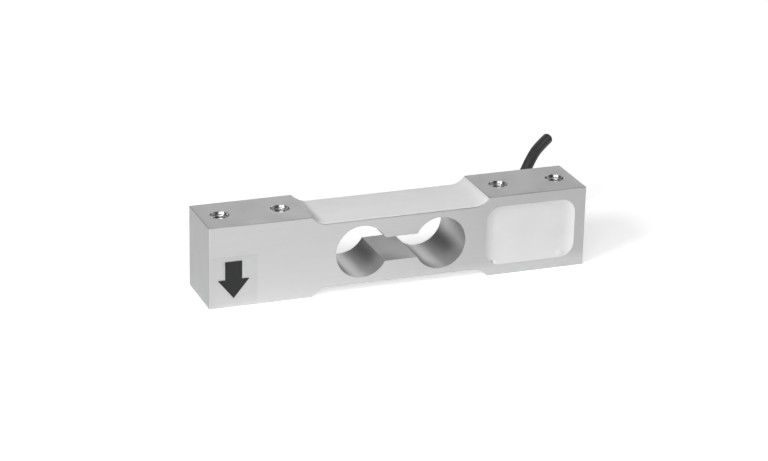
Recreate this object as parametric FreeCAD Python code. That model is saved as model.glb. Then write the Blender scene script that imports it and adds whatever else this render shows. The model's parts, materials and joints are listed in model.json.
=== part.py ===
"""Single point load cell: a machined aluminium beam with bonded strain gauges, a potted wiring pocket and a cable.

Sizes are in millimetres. X runs along the beam, from the load end at -X to the fixed end at +X. The wiring
pocket opens in the front face at -Y, the cable leaves the back face at +Y, and Z = 0 is the plane of the seats.
"""
import FreeCAD
import Part
import math
import os

Vector = FreeCAD.Vector

# How far each cutter reaches past the faces that it opens
cutter_overrun = 1.0

# Beam
beam_length = 130.0
beam_width = 22.0
beam_height = 27.5
waist_length = 60.8
recess_depth = 2.8
recess_end_radius = 6.0
bore_radius = 8.9
bore_pitch = 27.0
slot_height = 8.15

# M6 tapped holes, drawn at the thread's major diameter, with the fine ridges left out
thread_radius = 3.0
mouth_chamfer = 0.18
hole_pitch = 20.25
hole_end_distance = 6.8

# Wiring pocket in the front face of the fixed end
pocket_length = 31.6
pocket_height = 20.3
pocket_depth = 6.0
pocket_corner_radius = 5.0
pocket_end_distance = 3.7

# Dished front of the potting: steps inwards from the pocket's wall, each with its depth under the front face
potting_dish = [(0.15, 0.0), (1.5, 0.45), (3.6, 0.75)]

# Slanted passages that lead the gauge wires from both recess floors into the pocket
passage_radius = 0.95
passage_depth = 3.0
passage_floor_offset = 2.0
passage_pocket_offset = 2.4
passage_rise = 5.5
drill_approach = 3.0

# Strain gauges, bonded over the four thin walls
film_length = 9.0
film_width = 5.6
film_thickness = 0.08
film_corner_radius = 0.5
foil_thickness = 0.04
grid_end_distance = 0.8
grid_length = 4.4
grid_legs = 8
grid_leg_width = 0.24
grid_leg_gap = 0.2
tab_length = 1.5
tab_width = 1.5
tab_gap = 0.4
tab_link_length = 0.35
gauge_solder_length = 0.8
gauge_solder_width = 0.7
gauge_solder_height = 0.2

# Silicone coating over the gauges
coating_thickness = 0.5
coating_edge_radius = 0.3
coating_margin_load = 0.5
coating_margin_fixed = 0.12

# Gauge leads
lead_radius = 0.1
lead_pitch = 0.45
lead_bend_radius = 0.5
lead_straight_length = 0.8
lead_fan_length = 7.0
lead_mouth_distance = 2.2
lead_run_height = 1.9

# Terminal board on the pocket floor
board_length = 11.0
board_height = 14.4
board_thickness = 1.0
board_corner_radius = 0.6
board_offset = 1.8
pad_thickness = 0.1
lead_pad_size = 1.1
lead_pad_pitch = 1.6
lead_pad_inset = 1.4
core_pad_size = 1.8
core_pad_pitch = 3.2
core_pad_inset = 1.6
solder_height = 0.5
solder_taper = 0.2
lead_solder_height = 0.3
solder_margin = 0.1
resistor_length = 2.0
resistor_width = 1.25
resistor_height = 0.55
resistor_edge_radius = 0.1
resistor_spacing = 4.2

# Signal cable
cable_radius = 1.9
cable_bore_clearance = 0.15
cable_inner_length = 0.6
core_radius = 0.42
core_ring_radius = 1.05
core_low_run = 2.3
core_high_run = 3.35

# Rubber bush in the back face
bush_radius = 2.8
bush_depth = 5.0
bush_flange_radius = 3.9
bush_flange_thickness = 1.6
bush_edge_radius = 0.5

# Route of the free cable after the bush, as steps from the centre of the bush's outer face
cable_route = [
    (0.0, 8.6, 0.0),
    (5.15, 15.6, -0.3),
    (12.8, 19.0, 2.85),
    (16.35, 21.6, 7.45),
    (20.4, 24.6, 10.75),
    (26.15, 28.6, 12.5),
]

# Label with the load arrow, on the front face of the load end
label_width = 16.0
label_height = 16.1
label_thickness = 0.08
label_corner_radius = 0.8
label_end_distance = 0.1
label_bottom_distance = 1.35
arrow_length = 12.6
arrow_head_length = 6.45
arrow_head_width = 10.55
arrow_shaft_width = 5.65
arrow_thickness = 0.06

# Places that follow from the sizes
front_y = -beam_width / 2
back_y = beam_width / 2
load_end_x = -beam_length / 2
fixed_end_x = beam_length / 2
middle_z = beam_height / 2
floor_z = beam_height - recess_depth
recess_run = math.sqrt(recess_end_radius**2 - (recess_end_radius - recess_depth) ** 2)
floor_half = waist_length / 2 - recess_run
outer_hole_x = fixed_end_x - hole_end_distance
inner_hole_x = outer_hole_x - hole_pitch
pocket_right = fixed_end_x - pocket_end_distance
pocket_left = pocket_right - pocket_length
pocket_floor_y = front_y + pocket_depth
passage_y = front_y + passage_depth
board_left = pocket_left + board_offset
board_right = board_left + board_length
board_top_y = pocket_floor_y - board_thickness
pad_top_y = board_top_y - pad_thickness
lead_pad_x = board_left + lead_pad_inset
core_pad_x = board_right - core_pad_inset
cable_x = (outer_hole_x + inner_hole_x) / 2
cable_inner_y = pocket_floor_y - cable_inner_length
bush_face_y = back_y + bush_flange_thickness
foil_bottom_z = floor_z + film_thickness
tab_top_z = foil_bottom_z + foil_thickness
label_x = load_end_x + label_end_distance + label_width / 2
label_z = label_bottom_distance + label_height / 2


def box(x_range, y_range, z_range):
    size = (x_range[1] - x_range[0], y_range[1] - y_range[0], z_range[1] - z_range[0])
    return Part.makeBox(*size, Vector(x_range[0], y_range[0], z_range[0]))


def y_cylinder(x, z, radius, y_range):
    """A cylinder along Y."""
    return Part.makeCylinder(radius, y_range[1] - y_range[0], Vector(x, y_range[0], z), Vector(0, 1, 0))


def rounded_block(centre, size, radius, axis):
    """A block whose four edges along the axis "Y" or "Z" are rounded."""
    corner = Vector(*centre) - Vector(*size) * 0.5
    block = Part.makeBox(*size, corner)
    along = {"Y": Vector(0, 1, 0), "Z": Vector(0, 0, 1)}[axis]
    edges = [edge for edge in block.Edges if abs(edge.tangentAt(0).dot(along)) > 0.999]
    return block.makeFillet(radius, edges)


def fused(shapes):
    """One clean solid from pieces that touch or overlap."""
    return shapes[0].multiFuse(shapes[1:]).removeSplitter()


def obround(half_pitch, z, radius, y_range):
    """The solid that a round cutter sweeps when it moves along X, with its axis along Y."""
    left = y_cylinder(-half_pitch, z, radius, y_range)
    right = y_cylinder(half_pitch, z, radius, y_range)
    middle = box((-half_pitch, half_pitch), y_range, (z - radius, z + radius))
    return fused([left, middle, right])


def to_bottom(shape):
    """The same piece on the underside of the beam."""
    return shape.mirror(Vector(0, 0, middle_z), Vector(0, 0, 1))


def tube(points, radius, extra_start=0.0, largest_bend=math.inf):
    """A round tube on straight runs with tangent arcs, its start made longer by extra_start.

    Each arc is as large as its two runs allow, up to largest_bend. Returns the solid, its length and the radii.
    """
    places = [Vector(*point) for point in points]
    first = (places[1] - places[0]).normalize()
    previous = places[0] - first * extra_start
    start = previous
    edges = []
    radii = []
    for before, corner, after in zip(places, places[1:], places[2:]):
        into = (corner - before).normalize()
        out = (after - corner).normalize()
        half_turn = into.getAngle(out) / 2
        longest_cut = 0.45 * min((corner - before).Length, (after - corner).Length)
        arc_radius = min(largest_bend, longest_cut / math.tan(half_turn))
        cut = arc_radius * math.tan(half_turn)
        arc_start = corner - into * cut
        arc_end = corner + out * cut
        sagitta = arc_radius / math.cos(half_turn) - arc_radius
        arc_middle = corner + (out - into).normalize() * sagitta
        edges.append(Part.LineSegment(previous, arc_start).toShape())
        edges.append(Part.Arc(arc_start, arc_middle, arc_end).toShape())
        radii.append(arc_radius)
        previous = arc_end
    edges.append(Part.LineSegment(previous, places[-1]).toShape())
    path = Part.Wire(edges)
    ring = Part.Wire([Part.Circle(start, first, radius).toShape()])
    solid = path.makePipeShell([ring], True, False)
    return solid, path.Length, radii


def beam_cutters():
    """Everything that is milled and drilled out of the bar, pocket and wiring holes apart."""
    through = (front_y - cutter_overrun, back_y + cutter_overrun)
    recess_centre_z = floor_z + recess_end_radius
    top_recess = obround(floor_half, recess_centre_z, recess_end_radius, through)
    cutters = [top_recess, to_bottom(top_recess)]
    for side in (-1, 1):
        cutters.append(y_cylinder(side * bore_pitch / 2, middle_z, bore_radius, through))
    slot_z = (middle_z - slot_height / 2, middle_z + slot_height / 2)
    cutters.append(box((-bore_pitch / 2, bore_pitch / 2), through, slot_z))
    mouth_radius = thread_radius + mouth_chamfer
    for hole_x in (-outer_hole_x, -inner_hole_x, inner_hole_x, outer_hole_x):
        drill_length = beam_height + 2 * cutter_overrun
        cutters.append(Part.makeCylinder(thread_radius, drill_length, Vector(hole_x, 0, -cutter_overrun)))
        mouth = Part.makeCone(
            thread_radius, mouth_radius, mouth_chamfer, Vector(hole_x, 0, beam_height - mouth_chamfer)
        )
        cutters += [mouth, to_bottom(mouth)]
    return cutters


def pocket_block(front, floor):
    """The pocket's rounded outline between two depths along Y."""
    centre = (pocket_left + pocket_length / 2, (front + floor) / 2, middle_z)
    return rounded_block(centre, (pocket_length, floor - front, pocket_height), pocket_corner_radius, "Y")


def passage_ends():
    """The points on the top recess floor and inside the pocket that the slanted passage joins."""
    mouth = Vector(floor_half - passage_floor_offset, passage_y, floor_z)
    inside = Vector(pocket_left + passage_pocket_offset, passage_y, middle_z + passage_rise)
    return mouth, inside


def wiring_cutters():
    """The pocket, the two wire passages and the cable's bore with the seat of its bush."""
    mouth, inside = passage_ends()
    along = (inside - mouth).normalize()
    drill_start = mouth - along * drill_approach
    passage = Part.makeCylinder(passage_radius, (inside - drill_start).Length, drill_start, along)
    cable_bore_radius = cable_radius + cable_bore_clearance
    cable_bore = y_cylinder(cable_x, middle_z, cable_bore_radius, (pocket_floor_y - cutter_overrun, back_y))
    bush_seat = y_cylinder(cable_x, middle_z, bush_radius, (back_y - bush_depth, back_y + cutter_overrun))
    pocket = pocket_block(front_y - cutter_overrun, pocket_floor_y)
    return [pocket, passage, to_bottom(passage), cable_bore, bush_seat]


def make_spring_body():
    bar = box((load_end_x, fixed_end_x), (front_y, back_y), (0, beam_height))
    return bar.cut(beam_cutters() + wiring_cutters())


def gauge_film(gauge_x):
    centre = (gauge_x, 0, floor_z + film_thickness / 2)
    return rounded_block(centre, (film_length, film_width, film_thickness), film_corner_radius, "Z")


def grid_start(gauge_x):
    """Where the measuring grid begins, at the film's load end."""
    return gauge_x - film_length / 2 + grid_end_distance


def tab_start(gauge_x):
    """Where the solder tabs begin, at the fixed end of the measuring grid."""
    return grid_start(gauge_x) + grid_length + 2 * grid_leg_width + tab_link_length


def gauge_foil(gauge_x):
    """The folded measuring grid, its legs along the beam, with a solder tab on each outer leg."""
    layer = (foil_bottom_z, tab_top_z)
    pitch = grid_leg_width + grid_leg_gap
    first_y = -(grid_legs - 1) * pitch / 2 - grid_leg_width / 2
    grid_x = grid_start(gauge_x)
    leg_x = (grid_x, grid_x + grid_length + 2 * grid_leg_width)
    tab_x = tab_start(gauge_x)
    pieces = []
    for number in range(grid_legs):
        leg_y = first_y + number * pitch
        is_outer = number in (0, grid_legs - 1)
        end_x = tab_x if is_outer else leg_x[1]
        pieces.append(box((leg_x[0], end_x), (leg_y, leg_y + grid_leg_width), layer))
        if number < grid_legs - 1:
            at_tabs = number % 2 == 1
            loop_x = leg_x[1] - grid_leg_width if at_tabs else leg_x[0]
            loop_y = (leg_y, leg_y + pitch + grid_leg_width)
            pieces.append(box((loop_x, loop_x + grid_leg_width), loop_y, layer))
    for side in (-1, 1):
        near, far = sorted((side * tab_gap / 2, side * (tab_gap / 2 + tab_width)))
        pieces.append(box((tab_x, tab_x + tab_length), (near, far), layer))
    return fused(pieces)


def tab_centre_y(side):
    return side * (tab_gap + tab_width) / 2


def solder_end_x(gauge_x):
    return tab_start(gauge_x) + (tab_length + gauge_solder_length) / 2


def gauge_solder():
    """The four solder joints on the tabs of the top gauges."""
    joints = []
    for gauge_x in (-bore_pitch / 2, bore_pitch / 2):
        end_x = solder_end_x(gauge_x)
        for side in (-1, 1):
            y = tab_centre_y(side)
            joints.append(
                box(
                    (end_x - gauge_solder_length, end_x),
                    (y - gauge_solder_width / 2, y + gauge_solder_width / 2),
                    (tab_top_z, tab_top_z + gauge_solder_height),
                )
            )
    return Part.makeCompound(joints)


def lead_pad_z(number):
    """The height of a lead's pad: 0 is the lowest of the four pads that serve the top gauges."""
    return middle_z + (number + 0.5) * lead_pad_pitch


def gauge_leads():
    """The four wires from the top gauges through the passage to the terminal board."""
    mouth, inside = passage_ends()
    along = (inside - mouth).normalize()
    wire_z = tab_top_z + gauge_solder_height / 2
    dive = mouth + along * ((wire_z - mouth.z) / along.z)
    solder_top_y = pad_top_y - lead_solder_height
    starts = [(-bore_pitch / 2, -1), (-bore_pitch / 2, 1), (bore_pitch / 2, -1), (bore_pitch / 2, 1)]
    wires = []
    for number, (gauge_x, side) in enumerate(starts):
        lane = (number - 1.5) * lead_pitch
        start_x = solder_end_x(gauge_x)
        lane_y = passage_y + lane
        fan_end_x = min(start_x + lead_fan_length, mouth.x - lead_mouth_distance)
        points = [
            (start_x, tab_centre_y(side), wire_z),
            (start_x + lead_straight_length, tab_centre_y(side), wire_z),
            (fan_end_x, lane_y, wire_z),
            (dive.x, lane_y, wire_z),
            (inside.x, lane_y, inside.z),
        ]
        hover_y = solder_top_y - lead_run_height
        points.append((lead_pad_x, hover_y, lead_pad_z(3 - number)))
        points.append((lead_pad_x, solder_top_y, lead_pad_z(3 - number)))
        wires.append(tube(points, lead_radius, largest_bend=lead_bend_radius)[0])
    return Part.makeCompound(wires)


def gauge_coating(hidden):
    """The silicone skin on the top recess, moulded over the pieces in hidden."""
    through = (front_y, back_y)
    centre_z = floor_z + recess_end_radius
    outside = obround(floor_half, centre_z, recess_end_radius, through)
    inside = obround(floor_half, centre_z, recess_end_radius - coating_thickness, through)
    skin = outside.cut(inside)
    load_part = box((load_end_x, 0), through, (0, beam_height - coating_margin_load))
    fixed_part = box((0, fixed_end_x), through, (0, beam_height - coating_margin_fixed))
    skin = fused([skin.common(load_part), skin.common(fixed_part)])
    surface_z = floor_z + coating_thickness
    rims = []
    for edge in skin.Edges:
        middle = edge.valueAt((edge.FirstParameter + edge.LastParameter) / 2)
        on_side = abs(abs(middle.y) - beam_width / 2) < 1e-6
        on_surface = abs(middle.z - surface_z) < 1e-6
        if on_side and on_surface and edge.Length > floor_half:
            rims.append(edge)
    skin = skin.makeFillet(coating_edge_radius, rims)
    return skin.cut(hidden)


def terminal_board():
    centre = (board_left + board_length / 2, pocket_floor_y - board_thickness / 2, middle_z)
    return rounded_block(centre, (board_length, board_thickness, board_height), board_corner_radius, "Y")


def pad(x, z, size):
    half = size / 2
    return box((x - half, x + half), (pad_top_y, board_top_y), (z - half, z + half))


def solder_cone(x, z, size, height):
    radius = size / 2 - solder_margin
    return Part.makeCone(radius, radius - solder_taper, height, Vector(x, pad_top_y, z), Vector(0, -1, 0))


def lead_pad_places():
    upper = [lead_pad_z(number) for number in range(4)]
    return upper + [2 * middle_z - z for z in upper]


def core_pad_places():
    return [middle_z + (number - 1.5) * core_pad_pitch for number in range(4)]


def terminal_pads():
    pads = [pad(lead_pad_x, z, lead_pad_size) for z in lead_pad_places()]
    pads += [pad(core_pad_x, z, core_pad_size) for z in core_pad_places()]
    return Part.makeCompound(pads)


def board_solder():
    joints = [solder_cone(lead_pad_x, z, lead_pad_size, lead_solder_height) for z in lead_pad_places()]
    joints += [solder_cone(core_pad_x, z, core_pad_size, solder_height) for z in core_pad_places()]
    return Part.makeCompound(joints)


def trim_resistor(side):
    """A chip resistor on the middle of the board, above (1) or below (-1) the beam's middle plane."""
    x = (lead_pad_x + core_pad_x) / 2
    z = middle_z + side * resistor_spacing / 2
    centre = (x, board_top_y - resistor_height / 2, z)
    return rounded_block(centre, (resistor_width, resistor_height, resistor_length), resistor_edge_radius, "Y")


def cable_core(number):
    """One insulated core: pads 0 to 3 from the lowest, the outer two passing in front of the inner two."""
    is_outer = number in (0, 3)
    up = 1 if number > 1 else -1
    aside = core_ring_radius * math.cos(math.pi / 4) * (1 if is_outer else -1)
    start_x = cable_x + aside
    start_z = middle_z + up * core_ring_radius * math.sin(math.pi / 4)
    run_y = cable_inner_y - (core_high_run if is_outer else core_low_run)
    pad_z = core_pad_places()[number]
    points = [
        (start_x, cable_inner_y, start_z),
        (start_x, run_y, start_z),
        (core_pad_x, run_y, pad_z),
        (core_pad_x, pad_top_y - solder_height, pad_z),
    ]
    return tube(points, core_radius)[0]


def make_cable():
    """The jacketed cable, straight through the beam and the bush, then free behind it."""
    face = Vector(cable_x, bush_face_y, middle_z)
    points = [tuple(face)] + [tuple(face + Vector(*step)) for step in cable_route]
    inner = bush_face_y - cable_inner_y
    solid, length, radii = tube(points, cable_radius, inner)
    section = math.pi * cable_radius**2
    print("cable arcs", [round(radius, 1) for radius in radii], "free length", round(length - inner, 1))
    print("cable volume / (section x length)", round(solid.Volume / (section * length), 5))
    return solid


def make_bush():
    stem = y_cylinder(cable_x, middle_z, bush_radius, (back_y - bush_depth, back_y))
    flange = y_cylinder(cable_x, middle_z, bush_flange_radius, (back_y, bush_face_y))
    rim = [edge for edge in flange.Edges if abs(edge.BoundBox.YMin - bush_face_y) < 1e-6]
    flange = flange.makeFillet(bush_edge_radius, rim)
    through = (back_y - bush_depth - cutter_overrun, bush_face_y + cutter_overrun)
    bore = y_cylinder(cable_x, middle_z, cable_radius, through)
    return fused([stem, flange]).cut(bore)


def pocket_outline(y, inset):
    """The pocket's rounded outline at a depth, moved inwards by inset."""
    centre = (pocket_left + pocket_length / 2, y + pocket_depth / 2, middle_z)
    size = (pocket_length - 2 * inset, pocket_depth, pocket_height - 2 * inset)
    block = rounded_block(centre, size, pocket_corner_radius - inset, "Y")
    return min(block.Faces, key=lambda face: face.CenterOfMass.y).OuterWire


def make_potting(hidden):
    """The silicone that fills the pocket, flush at its rim and dished inside it, moulded over the pieces in hidden."""
    fill = pocket_block(front_y, pocket_floor_y)
    outlines = [pocket_outline(front_y + depth, inset) for inset, depth in potting_dish]
    dish = Part.makeLoft(outlines, True, True)
    return fill.cut([dish] + hidden)


def make_label():
    centre = (label_x, front_y - label_thickness / 2, label_z)
    return rounded_block(centre, (label_width, label_thickness, label_height), label_corner_radius, "Y")


def make_arrow():
    """The black print, an arrow that points down, on the middle of the label."""
    top = label_z + arrow_length / 2
    tip = label_z - arrow_length / 2
    shoulder = tip + arrow_head_length
    right_side = [
        (arrow_shaft_width / 2, top),
        (arrow_shaft_width / 2, shoulder),
        (arrow_head_width / 2, shoulder),
    ]
    left_side = [(-x, z) for x, z in reversed(right_side)]
    outline = right_side + [(0, tip)] + left_side + right_side[:1]
    y = front_y - label_thickness
    face = Part.Face(Part.makePolygon([Vector(label_x + x, y, z) for x, z in outline]))
    return face.extrude(Vector(0, -arrow_thickness, 0))


nodes = {}
nodes["spring_body"] = make_spring_body()
for name, gauge_x in (("load", -bore_pitch / 2), ("fixed", bore_pitch / 2)):
    nodes["gauge_film_top_" + name] = gauge_film(gauge_x)
    nodes["gauge_foil_top_" + name] = gauge_foil(gauge_x)
    for layer in ("film", "foil"):
        nodes["gauge_" + layer + "_bottom_" + name] = to_bottom(nodes["gauge_" + layer + "_top_" + name])
nodes["top_gauge_solder"] = gauge_solder()
nodes["top_gauge_leads"] = gauge_leads()
on_top_floor = [shape for name, shape in nodes.items() if "top" in name]
nodes["top_gauge_coating"] = gauge_coating(on_top_floor)
for layer in ("solder", "leads", "coating"):
    nodes["bottom_gauge_" + layer] = to_bottom(nodes["top_gauge_" + layer])

nodes["terminal_board"] = terminal_board()
nodes["terminal_pads"] = terminal_pads()
nodes["board_solder"] = board_solder()
nodes["zero_trim_resistor"] = trim_resistor(1)
nodes["span_trim_resistor"] = trim_resistor(-1)
for number, colour in enumerate(("black", "white", "green", "red")):
    nodes["core_" + colour] = cable_core(number)
nodes["cable"] = make_cable()
nodes["cable_bush"] = make_bush()

in_pocket = ["terminal_board", "terminal_pads", "board_solder", "zero_trim_resistor", "span_trim_resistor"]
in_pocket += ["core_black", "core_white", "core_green", "core_red", "cable"]
in_pocket += ["top_gauge_leads", "bottom_gauge_leads"]
nodes["pocket_potting"] = make_potting([nodes[name] for name in in_pocket])
nodes["arrow_label"] = make_label()
nodes["load_arrow"] = make_arrow()

os.makedirs("parts", exist_ok=True)
for name, shape in nodes.items():
    shape.exportStep("parts/" + name + ".step")
print(len(nodes), "pieces written")
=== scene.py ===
"""Looks of a single point load cell: milled body, cast silicone, tapped holes, load arrow, cable stub."""

import json
import math

import bmesh
import bpy
from mathutils import Matrix, Vector, noise


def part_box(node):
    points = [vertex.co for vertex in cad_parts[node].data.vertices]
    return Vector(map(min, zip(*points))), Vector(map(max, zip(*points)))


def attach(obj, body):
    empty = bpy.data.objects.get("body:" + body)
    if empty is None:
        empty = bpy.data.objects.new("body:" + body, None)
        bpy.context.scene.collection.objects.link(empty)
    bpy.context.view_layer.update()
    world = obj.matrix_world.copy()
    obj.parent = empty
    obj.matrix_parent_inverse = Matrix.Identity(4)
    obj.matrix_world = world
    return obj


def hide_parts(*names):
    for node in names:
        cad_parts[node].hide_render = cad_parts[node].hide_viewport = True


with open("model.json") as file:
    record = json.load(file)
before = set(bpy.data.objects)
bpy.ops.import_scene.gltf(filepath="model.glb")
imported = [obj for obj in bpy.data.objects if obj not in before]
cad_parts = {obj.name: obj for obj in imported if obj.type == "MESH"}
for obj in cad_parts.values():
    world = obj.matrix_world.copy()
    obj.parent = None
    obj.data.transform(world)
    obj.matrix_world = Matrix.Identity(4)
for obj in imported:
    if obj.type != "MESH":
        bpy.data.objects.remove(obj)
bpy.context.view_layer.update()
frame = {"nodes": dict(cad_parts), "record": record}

MM = 0.001

# Beam, as in the source of the solids
beam_low, beam_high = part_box("spring_body")
beam_length = beam_high.x - beam_low.x
beam_width = beam_high.y - beam_low.y
beam_height = beam_high.z - beam_low.z
waist_length = 60.8 * MM
recess_depth = 2.8 * MM
recess_end_radius = 6.0 * MM
bore_radius = 8.9 * MM
bore_pitch = 27.0 * MM
slot_height = 8.15 * MM
edge_break = 0.16 * MM
edge_break_segments = 2

# Painted light on the milled metal, as factors low and high on each end and the stretch between the ends:
# painted shade towards the fixed end, painted floor reflection at the lower edges
load_end_painted_light = (1.04, 1.0)
load_end_painted_light_heights = (4.0 * MM, 18.0 * MM)
fixed_end_painted_light = (0.96, 0.85)
fixed_end_painted_light_heights = (2.5 * MM, 5.5 * MM)
painted_light_stretch = (-15.0 * MM, 35.0 * MM)

# Painted light on the silicone coating: the factor by which its colour is painted lighter at the front
coat_front_painted_light = 1.09

# Scales of the coordinates that draw the marks of a tool out
drawn_along_beam = (0.05, 1.0, 1.0)
drawn_upright = (1.0, 1.0, 0.06)
drawn_round_bores = (0.02, 1.0, 0.02)

# How near points are merged, and at which angles faces are joined or creased
solid_merge_distance = 0.0002 * MM
piece_merge_distance = 0.0005 * MM
flat_join_angle = math.radians(0.5)
crease_angle = math.radians(50)
potting_crease_angle = math.radians(60)

# What tells the edges and faces of the body apart: the shares are of a face's normal
sharp_edge_angle = math.radians(32)
edge_tolerance = 0.01 * MM
face_tolerance = 0.05 * MM
bore_tolerance = 0.12 * MM
level_share = 0.95
sideways_share = 0.5
square_share = 0.99999
small_face_size = 3 * MM

# Tapped M6 holes
thread_pitch = 1.0 * MM
thread_radius = 3.0 * MM
hole_mouth_radius = 3.3 * MM
ridge_depth = 0.5413 * thread_pitch
ridge_foot_width = 0.86 * thread_pitch
ridge_tip_width = 0.25 * thread_pitch
ridge_root = 0.03 * MM
ridge_end_margin = 0.48 * MM
ridge_fade_turns = 2.5
ridge_least_share = 0.02
ridge_points_per_turn = 40

# Silicone coating in the recesses: arc and feather are shares of its length, lip and crown of its depth
coat_thickness = 0.5 * MM
coat_edge_radius = 0.3 * MM
coat_arc_share = 0.16
coat_feather_share = 0.045
coat_lip_share = 0.06
coat_margin_load = 0.5 * MM
coat_margin_fixed = 0.12 * MM
coat_side_margin = 0.3 * MM
coat_crown_share = 0.45
coat_crown_power = 4
coat_unevenness = 0.035 * MM
coat_swell_size = 9.0 * MM
coat_stations = 121
coat_edge_steps = 5
coat_flat_steps = 26

# Silicone potting in the wiring pocket: the lump and the gap at its rim are placed by x and z
pocket_corner_radius = 5.0 * MM
pocket_corner_steps = 14
pocket_longest_run = 0.5 * MM
potting_dish_depth = 0.75 * MM
potting_rim_width = 3.6 * MM
potting_rim_steps = 18
potting_rim_power = 1.3
potting_inner_steps = 18
potting_unevenness = 0.06 * MM
potting_swell_size = 9.0 * MM
potting_lump = (56.7 * MM, 4.5 * MM)
potting_lump_size = 0.8 * MM
potting_gap = (32.4 * MM, 4.3 * MM)
potting_gap_size = 0.5 * MM
potting_gap_depth = 0.8 * MM

# Where the slow swells of the cast surfaces are read from the noise
top_coat_seed = 3.1
bottom_coat_seed = 8.4
potting_seed = 5.3
seed_direction = (1.0, 0.7, 1.3)

# Cable: the route's points are the solid's own, as steps from the exit
cable_exit = Vector((48.075, 12.6, 13.75)) * MM
cable_route = [
    (0.0, 8.6, 0.0),
    (5.15, 15.6, -0.3),
    (12.8, 19.0, 2.85),
    (16.35, 21.6, 7.45),
    (20.4, 24.6, 10.75),
    (26.15, 28.6, 12.5),
]
cable_diameter = 3.8 * MM
jacket_wall = 0.55 * MM
jacket_cut_rounding = 0.8 * MM
jacket_mouth_depth = 0.35 * MM
jacket_start_bevel = 0.1 * MM
jacket_sides = 48
jacket_cut_steps = 8
route_steps = 24

# Cores and strands in the cable's cut end: depths are measured from the cut
core_diameter = 0.84 * MM
core_ring_radius = 0.72 * MM
core_tail_depth = 1.2 * MM
core_bevel_depth = 0.12 * MM
core_face_depth = 0.08 * MM
core_bevel = 0.04 * MM
core_sides = 24
strand_bundle_diameter = 0.46 * MM
strand_bundle_depth = 0.16 * MM
strands_per_core = 7
strands_across_bundle = 3.1
strand_tail_depth = 0.7 * MM
strand_bevel_depth = 0.07 * MM
strand_face_depth = 0.05 * MM
strand_face_share = 0.6
strand_sides = 12

# Camera, as solved from the corners of the beam in the 768 by 461 pixel frame
camera_aim = Vector((0.14, 5.54, 13.40)) * MM
camera_azimuth = math.radians(-20.8374)
camera_elevation = math.radians(21.2716)
camera_roll = math.radians(1.2625)
camera_distance = 888.492 * MM
camera_focal_length = 126.39
camera_sensor_width = 36.0
camera_clip_start = 0.01
camera_clip_end = 20.0

# Studio: the floor's glow has a part that only the camera sees, which grows between two distances
floor_reach = 4.0
floor_gap = 0.02 * MM
floor_glow = 0.404
floor_whites = (0.12, 0.6)
floor_white_distances = (0.25, 0.7)
sky_strength = 0.055
studio_aim = Vector((0.0, 0.0, 0.01))


def add_node(tree, kind, inputs=None, **settings):
    """A node with its settings, each input given as a value or as the socket that feeds it."""
    node = tree.nodes.new(kind)
    for name, value in settings.items():
        setattr(node, name, value)
    for name, value in (inputs or {}).items():
        if isinstance(value, bpy.types.NodeSocket):
            tree.links.new(value, node.inputs[name])
        else:
            node.inputs[name].default_value = value
    return node


def new_finish(name, colour, roughness, metallic=0.0):
    """A material with one shader. Returns the material, its tree and the shader."""
    material = bpy.data.materials.new(name)
    material.use_nodes = True
    tree = material.node_tree
    shader = tree.nodes["Principled BSDF"]
    shader.inputs["Base Color"].default_value = (*colour, 1.0)
    shader.inputs["Roughness"].default_value = roughness
    shader.inputs["Metallic"].default_value = metallic
    return material, tree, shader


def object_place(tree, stretch=(1.0, 1.0, 1.0)):
    """Object coordinates, each axis multiplied by stretch."""
    place = add_node(tree, "ShaderNodeTexCoord").outputs["Object"]
    return add_node(tree, "ShaderNodeMapping", {"Vector": place, "Scale": stretch}).outputs["Vector"]


def noise_value(tree, place, size, detail=2.0, roughness=0.5):
    """Cloudy noise from 0 to 1 whose blotches are about size across."""
    inputs = {"Vector": place, "Scale": 1.0 / size, "Detail": detail, "Roughness": roughness}
    return add_node(tree, "ShaderNodeTexNoise", inputs).outputs["Fac"]


def ramp(tree, value, low, high, from_low=0.3, from_high=0.7):
    """value, stretched from one range to another and kept within it."""
    inputs = {"Value": value, "From Min": from_low, "From Max": from_high, "To Min": low, "To Max": high}
    return add_node(tree, "ShaderNodeMapRange", inputs).outputs["Result"]


def maths(tree, operation, *values):
    """The result of one operation on numbers or sockets."""
    return add_node(tree, "ShaderNodeMath", dict(enumerate(values)), operation=operation).outputs[0]


def mixed_colour(tree, factor, first, second):
    """A mix of two colours, each a colour or the socket of one.

    The node's sockets go by number, because those for other kinds of value have the same names.
    """
    node = add_node(tree, "ShaderNodeMix", data_type="RGBA")
    for number, value in ((0, factor), (6, first), (7, second)):
        if isinstance(value, bpy.types.NodeSocket):
            tree.links.new(value, node.inputs[number])
        else:
            node.inputs[number].default_value = value if number == 0 else (*value, 1.0)
    return node.outputs[2]


def bump(tree, height, distance, strength, normal=None):
    """A normal that is bent by a height up to distance deep, on top of another bump if one is given."""
    inputs = {"Height": height, "Distance": distance, "Strength": strength}
    if normal is not None:
        inputs["Normal"] = normal
    return add_node(tree, "ShaderNodeBump", inputs).outputs["Normal"]


def scaled_colour(tree, colour, factor):
    """A colour made darker or lighter by a factor from a socket."""
    node = add_node(tree, "ShaderNodeVectorMath", {0: colour, "Scale": factor}, operation="SCALE")
    return node.outputs["Vector"]


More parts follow.
